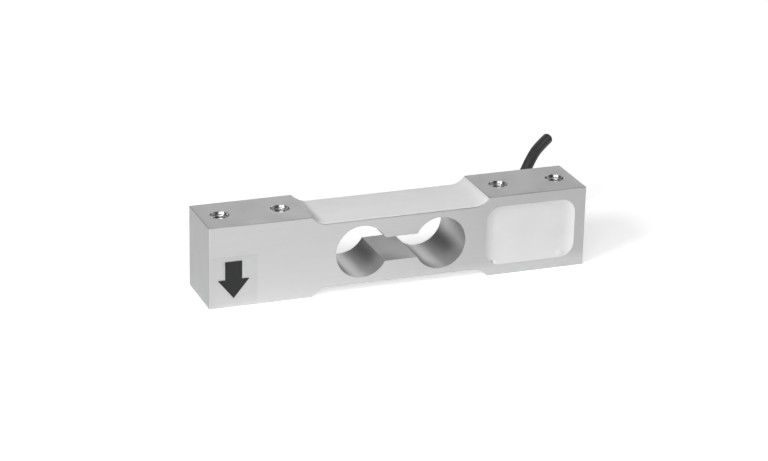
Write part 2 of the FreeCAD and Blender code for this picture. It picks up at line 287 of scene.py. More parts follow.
def milled_aluminium():
    """Satin milled aluminium: fine cutter lines and faint streaks along the beam, and soft clouds.

    Its colour is painted darker towards the fixed end, a painted shade, and lighter towards its lower edge,
    a painted reflection of the floor.
    """
    base = (0.68, 0.682, 0.684)
    material, tree, shader = new_finish("milled_aluminium", base, roughness=0.5, metallic=1.0)
    plain = object_place(tree)
    lines = object_place(tree, drawn_along_beam)
    cutter_lines = noise_value(tree, lines, 0.12 * MM, detail=3.0, roughness=0.6)
    streaks = noise_value(tree, lines, 1.1 * MM, detail=4.0, roughness=0.6)
    clouds = noise_value(tree, plain, 9.0 * MM, detail=3.0, roughness=0.55)
    grain = noise_value(tree, plain, 0.09 * MM, roughness=0.6)
    dark_cloud = (0.645, 0.647, 0.649)
    light_cloud = (0.69, 0.692, 0.694)
    dark_streak = (0.65, 0.652, 0.654)
    light_streak = (0.685, 0.687, 0.689)
    clouded = mixed_colour(tree, ramp(tree, clouds, 0.0, 1.0), dark_cloud, light_cloud)
    streaked = mixed_colour(tree, ramp(tree, streaks, 0.0, 1.0), dark_streak, light_streak)
    colour = mixed_colour(tree, 0.5, clouded, streaked)
    place = add_node(tree, "ShaderNodeSeparateXYZ", {0: plain}).outputs
    # Painted shade towards the fixed end, and painted floor reflection towards the lower edges
    load_painted_light = ramp(tree, place["Z"], *load_end_painted_light, *load_end_painted_light_heights)
    fixed_painted_light = ramp(tree, place["Z"], *fixed_end_painted_light, *fixed_end_painted_light_heights)
    painted_light_factor = ramp(tree, place["X"], load_painted_light, fixed_painted_light, *painted_light_stretch)
    tree.links.new(scaled_colour(tree, colour, painted_light_factor), shader.inputs["Base Color"])
    tree.links.new(ramp(tree, clouds, 0.5, 0.58), shader.inputs["Roughness"])
    normal = bump(tree, grain, 0.003 * MM, 0.6)
    normal = bump(tree, cutter_lines, 0.004 * MM, 0.7, normal)
    tree.links.new(normal, shader.inputs["Normal"])
    return material


def painted_shade_aluminium(name, shade):
    """Metal painted darker than the milled metal, a painted shade, for the end faces and the slot, with
    fine upright scores.
    """
    material, tree, shader = new_finish(name, (shade, shade, shade), roughness=0.52, metallic=1.0)
    scores = noise_value(tree, object_place(tree, drawn_upright), 0.16 * MM, detail=3.0, roughness=0.6)
    clouds = noise_value(tree, object_place(tree), 6.0 * MM, detail=3.0, roughness=0.55)
    dark = (shade * 0.95, shade * 0.955, shade * 0.96)
    light = (shade * 1.05, shade * 1.055, shade * 1.06)
    colour = mixed_colour(tree, ramp(tree, clouds, 0.0, 1.0), dark, light)
    tree.links.new(colour, shader.inputs["Base Color"])
    tree.links.new(ramp(tree, clouds, 0.5, 0.58), shader.inputs["Roughness"])
    tree.links.new(bump(tree, scores, 0.005 * MM, 0.7), shader.inputs["Normal"])
    return material


def draw_reflections(tree, shader, direction, share):
    """Draws every reflection out along a direction, as fine turning marks across it do."""
    along = add_node(tree, "ShaderNodeCombineXYZ", dict(zip("XYZ", direction))).outputs["Vector"]
    shader.inputs["Anisotropic"].default_value = share
    tree.links.new(along, shader.inputs["Tangent"])


def bored_aluminium():
    """The smoother wall of the bores, with turning marks round each bore."""
    base = (0.61, 0.612, 0.614)
    material, tree, shader = new_finish("bored_aluminium", base, roughness=0.5, metallic=1.0)
    draw_reflections(tree, shader, (0.0, 1.0, 0.0), 0.3)
    marks = noise_value(tree, object_place(tree, drawn_round_bores), 0.6 * MM, detail=3.0, roughness=0.6)
    tree.links.new(ramp(tree, marks, 0.46, 0.54), shader.inputs["Roughness"])
    tree.links.new(bump(tree, marks, 0.003 * MM, 0.5), shader.inputs["Normal"])
    return material


def drilled_aluminium():
    """The wall and mouth of the tapped holes, with turning marks round each hole."""
    base = (0.62, 0.62, 0.622)
    material, tree, shader = new_finish("drilled_aluminium", base, roughness=0.34, metallic=1.0)
    draw_reflections(tree, shader, (0.0, 0.0, 1.0), 0.85)
    grain = noise_value(tree, object_place(tree), 0.3 * MM, detail=3.0)
    colour = mixed_colour(tree, grain, (0.55, 0.55, 0.552), (0.68, 0.68, 0.682))
    tree.links.new(colour, shader.inputs["Base Color"])
    tree.links.new(bump(tree, grain, 0.004 * MM, 0.5), shader.inputs["Normal"])
    return material


def thread_aluminium():
    """The brighter, tool-turned metal of the tapped threads."""
    base = (0.68, 0.68, 0.682)
    material, tree, shader = new_finish("turned_aluminium", base, roughness=0.42, metallic=1.0)
    grain = noise_value(tree, object_place(tree), 0.2 * MM)
    tree.links.new(ramp(tree, grain, 0.36, 0.48), shader.inputs["Roughness"])
    tree.links.new(bump(tree, grain, 0.004 * MM, 0.5), shader.inputs["Normal"])
    return material


def cast_silicone(name, front_painted_light):
    """White silicone, cast by hand: faint clouds and a soft skin.

    Its colour is painted lighter across the beam, up to the given factor at the front: painted light.
    """
    material, tree, shader = new_finish(name, (0.87, 0.87, 0.867), roughness=0.45)
    plain = object_place(tree)
    clouds = noise_value(tree, plain, 8.0 * MM, detail=3.0)
    skin = noise_value(tree, plain, 0.7 * MM, detail=3.0, roughness=0.6)
    colour = mixed_colour(tree, ramp(tree, clouds, 0.0, 1.0), (0.85, 0.85, 0.847), (0.89, 0.89, 0.887))
    across = add_node(tree, "ShaderNodeSeparateXYZ", {0: plain}).outputs["Y"]
    # Painted light: the colour grows lighter towards the front of the beam
    painted_light_lift = ramp(tree, across, 1.0, front_painted_light, beam_width / 2, -beam_width / 2)
    tree.links.new(scaled_colour(tree, colour, painted_light_lift), shader.inputs["Base Color"])
    tree.links.new(ramp(tree, skin, 0.4, 0.56), shader.inputs["Roughness"])
    tree.links.new(bump(tree, skin, 0.012 * MM, 0.5), shader.inputs["Normal"])
    shader.inputs["Subsurface Weight"].default_value = 0.12
    shader.inputs["Subsurface Scale"].default_value = 0.6 * MM
    shader.inputs["Subsurface Radius"].default_value = (1.0, 1.0, 0.9)
    return material


def clear_film():
    """Clear label film that only shows by its sheen and a faint pale tint."""
    material, tree, shader = new_finish("clear_film", (0.95, 0.95, 0.95), roughness=0.4)
    grain = noise_value(tree, object_place(tree), 0.5 * MM)
    tree.links.new(ramp(tree, grain, 0.35, 0.5), shader.inputs["Roughness"])
    tree.links.new(bump(tree, grain, 0.006 * MM, 0.4), shader.inputs["Normal"])
    shader.inputs["Alpha"].default_value = 0.05
    return material


def black_ink():
    """Matt black print with a slightly broken coverage."""
    material, tree, shader = new_finish("black_ink", (0.025, 0.027, 0.026), roughness=0.6)
    specks = noise_value(tree, object_place(tree), 0.3 * MM, detail=4.0, roughness=0.7)
    worn = ramp(tree, specks, 0.0, 1.0, from_low=0.45, from_high=0.8)
    colour = mixed_colour(tree, worn, (0.022, 0.024, 0.023), (0.05, 0.052, 0.051))
    tree.links.new(colour, shader.inputs["Base Color"])
    tree.links.new(ramp(tree, specks, 0.52, 0.66), shader.inputs["Roughness"])
    shader.inputs["Specular IOR Level"].default_value = 0.3
    return material


def plain_finish(
    name, colour, roughness, metallic=0.0, grain_size=0.4 * MM, grain_depth=0.004 * MM, variation=0.12
):
    """A finish with fine grain and a slight change of shade, for smaller pieces."""
    material, tree, shader = new_finish(name, colour, roughness, metallic)
    grain = noise_value(tree, object_place(tree), grain_size, detail=3.0, roughness=0.6)
    dark = tuple(part * (1.0 - variation) for part in colour)
    light = tuple(min(1.0, part * (1.0 + variation)) for part in colour)
    tree.links.new(mixed_colour(tree, grain, dark, light), shader.inputs["Base Color"])
    tree.links.new(ramp(tree, grain, roughness * 0.85, roughness * 1.15), shader.inputs["Roughness"])
    tree.links.new(bump(tree, grain, grain_depth, 0.6), shader.inputs["Normal"])
    return material


def linked(name, data):
    """A new object for some data, linked to the scene."""
    made = bpy.data.objects.new(name, data)
    bpy.context.scene.collection.objects.link(made)
    return made


def dress(piece, material):
    """Gives a piece one material."""
    piece.data.materials.clear()
    piece.data.materials.append(material)


def new_piece(name, mesh, material, replaced=()):
    """Links a mesh as a piece of the object, which rides on its only body."""
    piece = linked(name, mesh)
    dress(piece, material)
    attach(piece, "root")
    if replaced:
        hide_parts(*replaced)
    return piece


def mesh_from(name, points, faces, crease=crease_angle):
    """A closed mesh from points and faces, which are turned outwards.

    Its doubles are merged and it is smooth up to the crease. Without a crease it stays faceted, as built.
    """
    mesh = bpy.data.meshes.new(name)
    mesh.from_pydata([tuple(point) for point in points], [], faces)
    shape = bmesh.new()
    shape.from_mesh(mesh)
    if crease is not None:
        bmesh.ops.remove_doubles(shape, verts=shape.verts, dist=piece_merge_distance)
    bmesh.ops.recalc_face_normals(shape, faces=shape.faces)
    shape.to_mesh(mesh)
    shape.free()
    if crease is not None:
        for face in mesh.polygons:
            face.use_smooth = True
        mesh.set_sharp_from_angle(angle=crease)
    return mesh


def evaluated_mesh(piece, name):
    """The piece's mesh with its modifiers applied, as a plain mesh."""
    depsgraph = bpy.context.evaluated_depsgraph_get()
    mesh = bpy.data.meshes.new_from_object(piece.evaluated_get(depsgraph))
    mesh.name = name
    return mesh


def is_outer_edge(edge):
    """True for a sharp edge of the beam's outline, which leaves out the edges of its openings."""
    ends = [vertex.co for vertex in edge.verts]
    waist_half_height = beam_height / 2 - recess_depth - edge_tolerance
    at_side = all(abs(abs(place.y) - beam_width / 2) < edge_tolerance for place in ends)
    at_end = all(abs(abs(place.x) - beam_length / 2) < edge_tolerance for place in ends)
    above = all(abs(place.z - beam_height / 2) > waist_half_height for place in ends)
    sharp = len(edge.link_faces) == 2 and edge.calc_face_angle() > sharp_edge_angle
    return sharp and (at_side + at_end + above) >= 2


def broken_edges(node_name):
    """A copy of a solid's mesh whose outer edges are broken by a small round."""
    shape = bmesh.new()
    shape.from_mesh(frame["nodes"][node_name].data)
    bmesh.ops.remove_doubles(shape, verts=shape.verts, dist=solid_merge_distance)
    bmesh.ops.dissolve_limit(shape, angle_limit=flat_join_angle, verts=shape.verts, edges=shape.edges)
    weights = shape.edges.layers.float.new("bevel_weight_edge")
    for edge in shape.edges:
        edge[weights] = 1.0 if is_outer_edge(edge) else 0.0
    mesh = bpy.data.meshes.new(node_name + "_milled")
    shape.to_mesh(mesh)
    shape.free()
    piece = linked("edge_break_work", mesh)
    modifier = piece.modifiers.new("edge_break", "BEVEL")
    modifier.width = edge_break
    modifier.segments = edge_break_segments
    modifier.limit_method = "WEIGHT"
    result = evaluated_mesh(piece, node_name + "_milled")
    bpy.data.objects.remove(piece)
    for face in result.polygons:
        squareness = max(abs(part) for part in face.normal)
        face.use_smooth = squareness < square_share or face.area < small_face_size**2
    return result


def is_bored(face):
    """True for a face on the wall of one of the two large bores."""
    across = math.hypot(abs(face.center.x) - bore_pitch / 2, face.center.z - beam_height / 2)
    return abs(across - bore_radius) < bore_tolerance and abs(face.normal.y) < sideways_share


def is_drilled(face, holes):
    """True for a face on the wall or in the mouth of a tapped hole."""
    reach = min(math.hypot(face.center.x - hole.x, face.center.y - hole.y) for hole in holes)
    return reach < hole_mouth_radius and abs(face.normal.z) < level_share


def is_end(face):
    """True for a face of the beam's two ends, whose metal is painted darker: painted shade."""
    return abs(abs(face.center.x) - beam_length / 2) < face_tolerance


def is_slot(face):
    """True for a face of the floor or roof of the slot between the bores."""
    at_height = abs(abs(face.center.z - beam_height / 2) - slot_height / 2) < face_tolerance
    return at_height and abs(face.normal.z) > level_share and abs(face.center.x) < bore_pitch / 2


def finish_of(face, holes):
    """The name of the finish that one face of the spring body has."""
    # The ends and the slot get finishes painted darker, as painted shade
    if is_end(face):
        return "end_painted_shade"
    if is_slot(face):
        return "slot_painted_shade"
    if is_bored(face):
        return "bored"
    if is_drilled(face, holes):
        return "drilled"
    return "milled"


def make_body(finishes):
    """The spring body: milled faces, and ends, slot, bores and holes in finishes of their own; the ends and
    the slot are painted darker, as painted shade.
    """
    mesh = broken_edges("spring_body")
    new_piece("milled_body", mesh, finishes["milled"], ["spring_body"])
    names = list(finishes)
    for name in names[1:]:
        mesh.materials.append(finishes[name])
    holes = hole_places()
    for face in mesh.polygons:
        name = finish_of(face, holes)
        face.material_index = names.index(name)
        if name in ("bored", "drilled"):
            face.use_smooth = True


def thread_tree():
    """Geometry nodes that put one helical thread ridge at each point of the mesh they are given."""
    tree = bpy.data.node_groups.new("tapped_thread", "GeometryNodeTree")
    interface = tree.interface
    interface.new_socket("Hole Places", in_out="INPUT", socket_type="NodeSocketGeometry")
    sizes = ("Radius", "Pitch", "Turns", "Fade Turns", "Ridge Depth", "Foot Width", "Tip Width", "Root")
    for label in sizes:
        interface.new_socket(label, in_out="INPUT", socket_type="NodeSocketFloat")
    interface.new_socket("Points Per Turn", in_out="INPUT", socket_type="NodeSocketInt")
    interface.new_socket("Material", in_out="INPUT", socket_type="NodeSocketMaterial")
    interface.new_socket("Threads", in_out="OUTPUT", socket_type="NodeSocketGeometry")
    given = tree.nodes.new("NodeGroupInput").outputs

    def corner(depth, half_width):
        return add_node(tree, "ShaderNodeCombineXYZ", {"X": depth, "Y": half_width}).outputs[0]

    helix = add_node(
        tree,
        "GeometryNodeCurveSpiral",
        {
            "Resolution": given["Points Per Turn"],
            "Rotations": given["Turns"],
            "Start Radius": given["Radius"],
            "End Radius": given["Radius"],
            "Height": maths(tree, "MULTIPLY", given["Turns"], given["Pitch"]),
            "Reverse": False,
        },
    ).outputs["Curve"]
    helix = add_node(tree, "GeometryNodeSetCurveNormal", {"Curve": helix}, mode="Z_UP").outputs["Curve"]
    along = add_node(tree, "GeometryNodeSplineParameter").outputs["Factor"]
    turns_in = maths(tree, "MULTIPLY", along, given["Turns"])
    turns_left = maths(tree, "SUBTRACT", given["Turns"], turns_in)
    fade = maths(tree, "DIVIDE", maths(tree, "MINIMUM", turns_in, turns_left), given["Fade Turns"])
    fade = maths(tree, "MINIMUM", fade, 1.0)
    fade = maths(tree, "MAXIMUM", fade, ridge_least_share)
    helix = add_node(tree, "GeometryNodeSetCurveRadius", {"Curve": helix, "Radius": fade}).outputs["Curve"]
    foot = maths(tree, "MULTIPLY", given["Foot Width"], 0.5)
    tip = maths(tree, "MULTIPLY", given["Tip Width"], 0.5)
    under = maths(tree, "MULTIPLY", given["Root"], -1.0)
    profile = add_node(
        tree,
        "GeometryNodeCurvePrimitiveQuadrilateral",
        {
            "Point 1": corner(under, maths(tree, "MULTIPLY", foot, -1.0)),
            "Point 2": corner(given["Ridge Depth"], maths(tree, "MULTIPLY", tip, -1.0)),
            "Point 3": corner(given["Ridge Depth"], tip),
            "Point 4": corner(under, foot),
        },
        mode="POINTS",
    ).outputs["Curve"]
    ridge = add_node(
        tree, "GeometryNodeCurveToMesh", {"Curve": helix, "Profile Curve": profile, "Fill Caps": True}
    ).outputs["Mesh"]
    placed = add_node(
        tree, "GeometryNodeInstanceOnPoints", {"Points": given["Hole Places"], "Instance": ridge}
    ).outputs["Instances"]
    real = add_node(tree, "GeometryNodeRealizeInstances", {"Geometry": placed}).outputs["Geometry"]
    finished = add_node(
        tree, "GeometryNodeSetMaterial", {"Geometry": real, "Material": given["Material"]}
    ).outputs["Geometry"]
    output = tree.nodes.new("NodeGroupOutput")
    tree.links.new(finished, output.inputs["Threads"])
    return tree


def set_inputs(modifier, values):
    """Sets a geometry nodes modifier's inputs by the identifiers of their sockets."""
    identifiers = {}
    for item in modifier.node_group.interface.items_tree:
        if item.item_type == "SOCKET" and item.in_out == "INPUT":
            identifiers[item.name] = item.identifier
    for name, value in values.items():
        modifier[identifiers[name]] = value


def hole_places():
    """Where each hole's thread starts, just over the bottom plane, from the record's bolt patterns."""
    places = []
    for mount in frame["record"]["mounts"]:
        if mount["kind"] == "bolt_pattern":
            half_pitch = mount["dims"]["spacing_x_mm"] * MM / 2
            middle_x, middle_y, _ = mount["pos_m"]
            for side in (-1, 1):
                places.append(Vector((middle_x + side * half_pitch, middle_y, ridge_end_margin)))
    return places


def make_threads(material):
    """The helical ridges of the tapped holes."""
    mesh = bpy.data.meshes.new("hole_places")
    mesh.from_pydata([tuple(place) for place in hole_places()], [], [])
    piece = linked("thread_work", mesh)
    modifier = piece.modifiers.new("threads", "NODES")
    modifier.node_group = thread_tree()
    values = {
        "Radius": thread_radius,
        "Pitch": thread_pitch,
        "Turns": (beam_height - 2 * ridge_end_margin) / thread_pitch,
        "Fade Turns": ridge_fade_turns,
        "Ridge Depth": ridge_depth,
        "Foot Width": ridge_foot_width,
        "Tip Width": ridge_tip_width,
        "Root": ridge_root,
        "Points Per Turn": ridge_points_per_turn,
        "Material": material,
    }
    set_inputs(modifier, values)
    result = evaluated_mesh(piece, "tapped_threads")
    bpy.data.objects.remove(piece)
    new_piece("tapped_threads", result, material)


def coat_section(share):
    """The x and z of a point on the recess floor, and of the coat's full surface over it.

    The share runs from 0 at the load end's lip to 1 at the other lip. Two arcs join the flat middle.
    """
    run = math.sqrt(recess_end_radius**2 - (recess_end_radius - recess_depth) ** 2)
    half = waist_length / 2 - run
    centre_z = beam_height - recess_depth + recess_end_radius
    ends = ((-1, -half, coat_margin_load), (1, half, coat_margin_fixed))
    side, centre_x, margin = ends[0] if share < 0.5 else ends[1]
    from_end = min(share, 1.0 - share)
    points = []
    for radius in (recess_end_radius, recess_end_radius - coat_thickness):
        if from_end < coat_arc_share:
            widest = math.acos((recess_end_radius - recess_depth + margin) / radius)
            angle = widest * (1.0 - from_end / coat_arc_share)
            x = centre_x + side * radius * math.sin(angle)
            points.append((x, centre_z - radius * math.cos(angle)))
        else:
            x = -half + 2 * half * (share - coat_arc_share) / (1.0 - 2 * coat_arc_share)
            points.append((x, centre_z - radius))
    return points


def uneven(place, size, seed):
    """A slow swell from about -1 to 1, the same on each run."""
    return noise.noise(Vector(place) / size + Vector([seed * part for part in seed_direction]))


def coat_rows():
    """Across the beam: how far each row lies from the middle, and the share of the full thickness there.

    The coat stops short of the beam's edges, which are bare, and falls away towards them.
    """
    half = beam_width / 2 - coat_side_margin
    rows = [(-half, 0.0), (-half, 1.0 - coat_edge_radius / coat_thickness)]
    for step in range(1, coat_edge_steps + 1):
        angle = math.pi / 2 * step / coat_edge_steps
        y = -half + coat_edge_radius * (1.0 - math.cos(angle))
        rows.append((y, 1.0 - coat_edge_radius / coat_thickness * (1.0 - math.sin(angle))))
    mirrored = [(-y, thick) for y, thick in reversed(rows)]
    flat = half - coat_edge_radius
    for step in range(1, coat_flat_steps):
        rows.append((-flat + 2 * flat * step / coat_flat_steps, 1.0))
    crowned = []
    for y, thick in rows + mirrored:
        crown = 1.0 - coat_crown_share * (y / half) ** coat_crown_power
        crowned.append((y, thick * crown))
    return crowned


def make_coat(name, node_name, material, on_top):
    """The silicone skin in the top or bottom recess, with a slightly uneven hand-cast surface."""
    rows = coat_rows()
    seed = top_coat_seed if on_top else bottom_coat_seed
    points = []
    for station in range(coat_stations):
        share = station / (coat_stations - 1)
        floor, surface = coat_section(share)
        feather = min(1.0, min(share, 1.0 - share) / coat_feather_share)
        feather = coat_lip_share + (1.0 - coat_lip_share) * math.sin(math.pi / 2 * feather)
        for y, thick in rows:
            swell = uneven((surface[0], y, 0.0), coat_swell_size, seed)
            full = thick * (1.0 + swell * coat_unevenness / coat_thickness)
            full = min(full, 1.0 + coat_unevenness / coat_thickness) * feather
            x = floor[0] + (surface[0] - floor[0]) * full
            z = floor[1] + (surface[1] - floor[1]) * full
            points.append((x, y, z if on_top else beam_height - z))
    across = len(rows)
    faces = []
    for station in range(coat_stations - 1):
        for row in range(across - 1):
            start = station * across + row
            faces.append((start, start + across, start + across + 1, start + 1))
        first = station * across
        last = first + across - 1
        faces.append((first, last, last + across, first + across))
    faces.append(tuple(range(across)))
    faces.append(tuple((coat_stations - 1) * across + row for row in range(across)))
    new_piece(name, mesh_from(name, points, faces), material, [node_name])


def tube_faces(rings, sides, start=0):
    """The side faces between consecutive rings of points, which begin at number start."""
    faces = []
    for ring in range(rings - 1):
        first = start + ring * sides
        ahead = first + sides
        for side in range(sides):
            following = (side + 1) % sides
            faces.append((first + side, first + following, ahead + following, ahead + side))
    return faces


def closed_tube_faces(rings, sides, start=0):
    """The faces of a tube of rings whose two ends are closed."""
    faces = tube_faces(rings, sides, start)
    last = start + (rings - 1) * sides
    faces.append(tuple(start + side for side in range(sides)))
    faces.append(tuple(last + side for side in range(sides)))
    return faces


def rounded_outline(half_x, half_z, radius, steps):
    """Points round a rectangle with round corners."""
    points = []
    for corner, (sign_x, sign_z) in enumerate(((1, 1), (-1, 1), (-1, -1), (1, -1))):
        for step in range(steps + 1):
            angle = math.pi / 2 * (corner + step / steps)
            x = sign_x * (half_x - radius) + radius * math.cos(angle)
            z = sign_z * (half_z - radius) + radius * math.sin(angle)
            points.append((x, z))
    return points


def subdivided(loop, longest):
    """A closed loop whose long runs are cut so that no run is longer than longest."""
    result = []
    for (x, z), (next_x, next_z) in zip(loop, loop[1:] + loop[:1]):
        count = max(1, round(math.hypot(next_x - x, next_z - z) / longest))
        for step in range(count):
            share = step / count
            result.append((x + (next_x - x) * share, z + (next_z - z) * share))
    return result


def inset_point(x, z, half_x, half_z, radius, inset):
    """The point of a rounded rectangle's outline, moved inwards at right angles to the outline."""
    corner_x = half_x - radius
    corner_z = half_z - radius
    away_x = max(abs(x) - corner_x, 0.0)
    away_z = max(abs(z) - corner_z, 0.0)
    reach = math.hypot(away_x, away_z)
    share = (reach - inset) / reach
    new_x = math.copysign(min(abs(x), corner_x) + away_x * share, x)
    new_z = math.copysign(min(abs(z), corner_z) + away_z * share, z)
    return new_x, new_z


def closeness(x, z, spot, size):
    """From 0 far from a spot of the front face to 1 on it."""
    return math.exp(-((x - spot[0]) ** 2 + (z - spot[1]) ** 2) / (2 * size**2))


def potting_depth(x, z, inset):
    """How far the potting's surface lies under the front face, with one lump and one gap at its rim."""
    rise = max(0.0, 1.0 - inset / potting_rim_width)
    depth = potting_dish_depth * (1.0 - rise * rise)
    swell = 0.5 + 0.5 * uneven((x, 0.0, z), potting_swell_size, potting_seed)
    depth += potting_unevenness * swell * (1.0 - rise)
    depth *= 1.0 - closeness(x, z, potting_lump, potting_lump_size)
    return depth + potting_gap_depth * closeness(x, z, potting_gap, potting_gap_size)


def make_potting(material):
    """The silicone that fills the wiring pocket: flush at its rim, dished inside it, and filled by hand."""
    low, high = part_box("pocket_potting")
    centre = (low + high) / 2
    half_x = (high.x - low.x) / 2
    half_z = (high.z - low.z) / 2
    corners = rounded_outline(half_x, half_z, pocket_corner_radius, pocket_corner_steps)
    outer = subdivided(corners, pocket_longest_run)
    points = [(centre.x + x, high.y, centre.z + z) for x, z in outer]
    for step in range(potting_rim_steps + 1):
        inset = potting_rim_width * (step / potting_rim_steps) ** potting_rim_power
        for corner_x, corner_z in outer:
            reach = inset_point(corner_x, corner_z, half_x, half_z, pocket_corner_radius, inset)
            x = centre.x + reach[0]
            z = centre.z + reach[1]
            points.append((x, low.y + potting_depth(x, z, inset), z))
    per_ring = len(outer)
    last = points[-per_ring:]
    for step in range(1, potting_inner_steps):
        share = 1.0 - step / potting_inner_steps
        for rim_x, _, rim_z in last:
            x = centre.x + (rim_x - centre.x) * share
            z = centre.z + (rim_z - centre.z) * share
            points.append((x, low.y + potting_depth(x, z, potting_rim_width), z))
    faces = tube_faces(len(points) // per_ring, per_ring)
    top = len(points)
    points.append((centre.x, low.y + potting_depth(centre.x, centre.z, potting_rim_width), centre.z))
    start = top - per_ring
    for number in range(per_ring):
        faces.append((start + number, start + (number + 1) % per_ring, top))
    faces.append(tuple(range(per_ring)))
    mesh = mesh_from("potting_fill", points, faces, potting_crease_angle)
    new_piece("potting_fill", mesh, material, ["pocket_potting"])


def cable_line():
    """The cable's smooth line, a spline on the route's points."""
    points = [cable_exit] + [cable_exit + Vector(step) * MM for step in cable_route]
    curve = bpy.data.curves.new("cable_line", "CURVE")
    curve.dimensions = "3D"
    curve.resolution_u = route_steps
    spline = curve.splines.new("NURBS")
    spline.points.add(len(points) - 1)
    for target, point in zip(spline.points, points):
        target.co = (*point, 1.0)
    spline.order_u = 3
    spline.use_endpoint_u = True
    return curve


def line_points(curve):
    """Points along a curve that has no bevel."""
    piece = linked("line_work", curve)
    bpy.context.view_layer.update()
    mesh = evaluated_mesh(piece, "line_work")
    points = [vertex.co.copy() for vertex in mesh.vertices]
    bpy.data.objects.remove(piece)
    bpy.data.meshes.remove(mesh)
    return points


def frames_along(points):
    """A steady frame at each point of a line: the direction, and two directions across it."""
    frames = []
    across = Vector((1, 0, 0))
    for number, point in enumerate(points):
        before = points[max(number - 1, 0)]
        after = points[min(number + 1, len(points) - 1)]
        along = (after - before).normalized()
        across = (across - along * across.dot(along)).normalized()
        frames.append((point, along, across, along.cross(across)))
    return frames


def ring_at(place, radius, sides):
    """A circle of points round a frame's line."""
    point, _, across, up = place
    ring = []
    for side in range(sides):
        angle = 2 * math.pi * side / sides
        ring.append(point + across * (radius * math.cos(angle)) + up * (radius * math.sin(angle)))
    return ring


def turned_rings(place, profile, sides):
    """Rings of points round a frame's line, each given by its shift along the line and its radius."""
    point, along, across, up = place
    points = []
    for shift, reach in profile:
        points += ring_at((point + along * shift, along, across, up), reach, sides)
    return points


def make_cable(path, material):
    """The cable's jacket, its free end cut off and worn round, with a shallow mouth round the cores."""
    radius = cable_diameter / 2
    frames = frames_along(path)
    points = []
    for place in frames[:-1]:
        if (place[0] - frames[-1][0]).length > jacket_cut_rounding:
            points += ring_at(place, radius, jacket_sides)
    widest = math.acos(1.0 - jacket_wall / jacket_cut_rounding)
    profile = []
    for step in range(jacket_cut_steps + 1):
        angle = widest * step / jacket_cut_steps
        shift = -jacket_cut_rounding * (1.0 - math.sin(angle))
        profile.append((shift, radius - jacket_cut_rounding * (1.0 - math.cos(angle))))
    profile.append((-jacket_mouth_depth, radius - jacket_wall))
    points += turned_rings(frames[-1], profile, jacket_sides)
    faces = closed_tube_faces(len(points) // jacket_sides, jacket_sides)
    mesh = mesh_from("signal_cable", points, faces)
    return new_piece("signal_cable", mesh, material, ["cable"])


def make_inner_cable(material):
    """The stretch of the jacket inside the beam and the bush, up to where the cable leaves them."""
    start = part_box("cable")[0].y
    radius = cable_diameter / 2
    across = Vector((1, 0, 0))
    up = Vector((0, 0, 1))
    profile = (
        (start, radius - jacket_start_bevel),
        (start + jacket_start_bevel, radius),
        (cable_exit.y, radius),
    )
    points = []
    for y, reach in profile:
        middle = Vector((cable_exit.x, y, cable_exit.z))
        points += ring_at((middle, None, across, up), reach, jacket_sides)
    mesh = mesh_from("inner_cable", points, closed_tube_faces(len(profile), jacket_sides))
    new_piece("inner_cable", mesh, material)


def core_place(cable_end, number):
    """The frame of one of the four cores in the cable's cut end."""
    point, along, across, up = cable_end
    turn = math.pi / 4 + math.pi / 2 * number
    offset = (core_ring_radius * math.cos(turn), core_ring_radius * math.sin(turn))
    return point + across * offset[0] + up * offset[1], along, across, up


def make_cut_cores(cable_end, finishes):
    """The four cores as they show in the cable's cut end, each with a hole for its strands."""
    profile = (
        (-core_tail_depth, core_diameter / 2),
        (-core_bevel_depth, core_diameter / 2),
        (-core_face_depth, core_diameter / 2 - core_bevel),
        (-core_face_depth, strand_bundle_diameter / 2),
        (-strand_bundle_depth, strand_bundle_diameter / 2),
    )
    pieces = []
    for number, (colour, material) in enumerate(finishes.items()):
        points = turned_rings(core_place(cable_end, number), profile, core_sides)
        mesh = mesh_from("cut_core_" + colour, points, closed_tube_faces(len(profile), core_sides))
        pieces.append(new_piece("cut_core_" + colour, mesh, material))
    return pieces


def make_strands(cable_end, core_count, material):
    """The copper strands in the cut cores: one in the middle of each and the others round it."""
    strand_radius = strand_bundle_diameter / (2 * strands_across_bundle)
    profile = (
        (-strand_tail_depth, strand_radius),
        (-strand_bevel_depth, strand_radius),
        (-strand_face_depth, strand_radius * strand_face_share),
    )
    points = []
    faces = []
    for number in range(core_count):
        centre, along, across, up = core_place(cable_end, number)
        for strand in range(strands_per_core):
            offset = Vector((0, 0, 0))
            if strand:
                angle = 2 * math.pi / (strands_per_core - 1) * strand
                offset = (across * math.cos(angle) + up * math.sin(angle)) * strand_radius * 2.0
            faces += closed_tube_faces(len(profile), strand_sides, len(points))
            points += turned_rings((centre + offset, along, across, up), profile, strand_sides)
    mesh = mesh_from("cut_strands", points, faces, crease=None)
    return new_piece("cut_strands", mesh, material)


def make_camera():
    """The camera at the viewing angle of the photograph."""
    flat = math.cos(camera_elevation)
    back_x = math.sin(camera_azimuth) * flat
    back_y = -math.cos(camera_azimuth) * flat
    back = Vector((back_x, back_y, math.sin(camera_elevation)))
    right = Vector((0, 0, 1)).cross(back).normalized()
    up = back.cross(right)
    right_rolled = right * math.cos(camera_roll) + up * math.sin(camera_roll)
    up_rolled = up * math.cos(camera_roll) - right * math.sin(camera_roll)
    lens = bpy.data.cameras.new("photo_camera")
    lens.lens = camera_focal_length
    lens.sensor_width = camera_sensor_width
    lens.clip_start = camera_clip_start
    lens.clip_end = camera_clip_end
    camera = linked("photo_camera", lens)
    turned = Matrix((right_rolled, up_rolled, back)).transposed()
    camera.matrix_world = Matrix.Translation(camera_aim + back * camera_distance) @ turned.to_4x4()
    bpy.context.scene.camera = camera


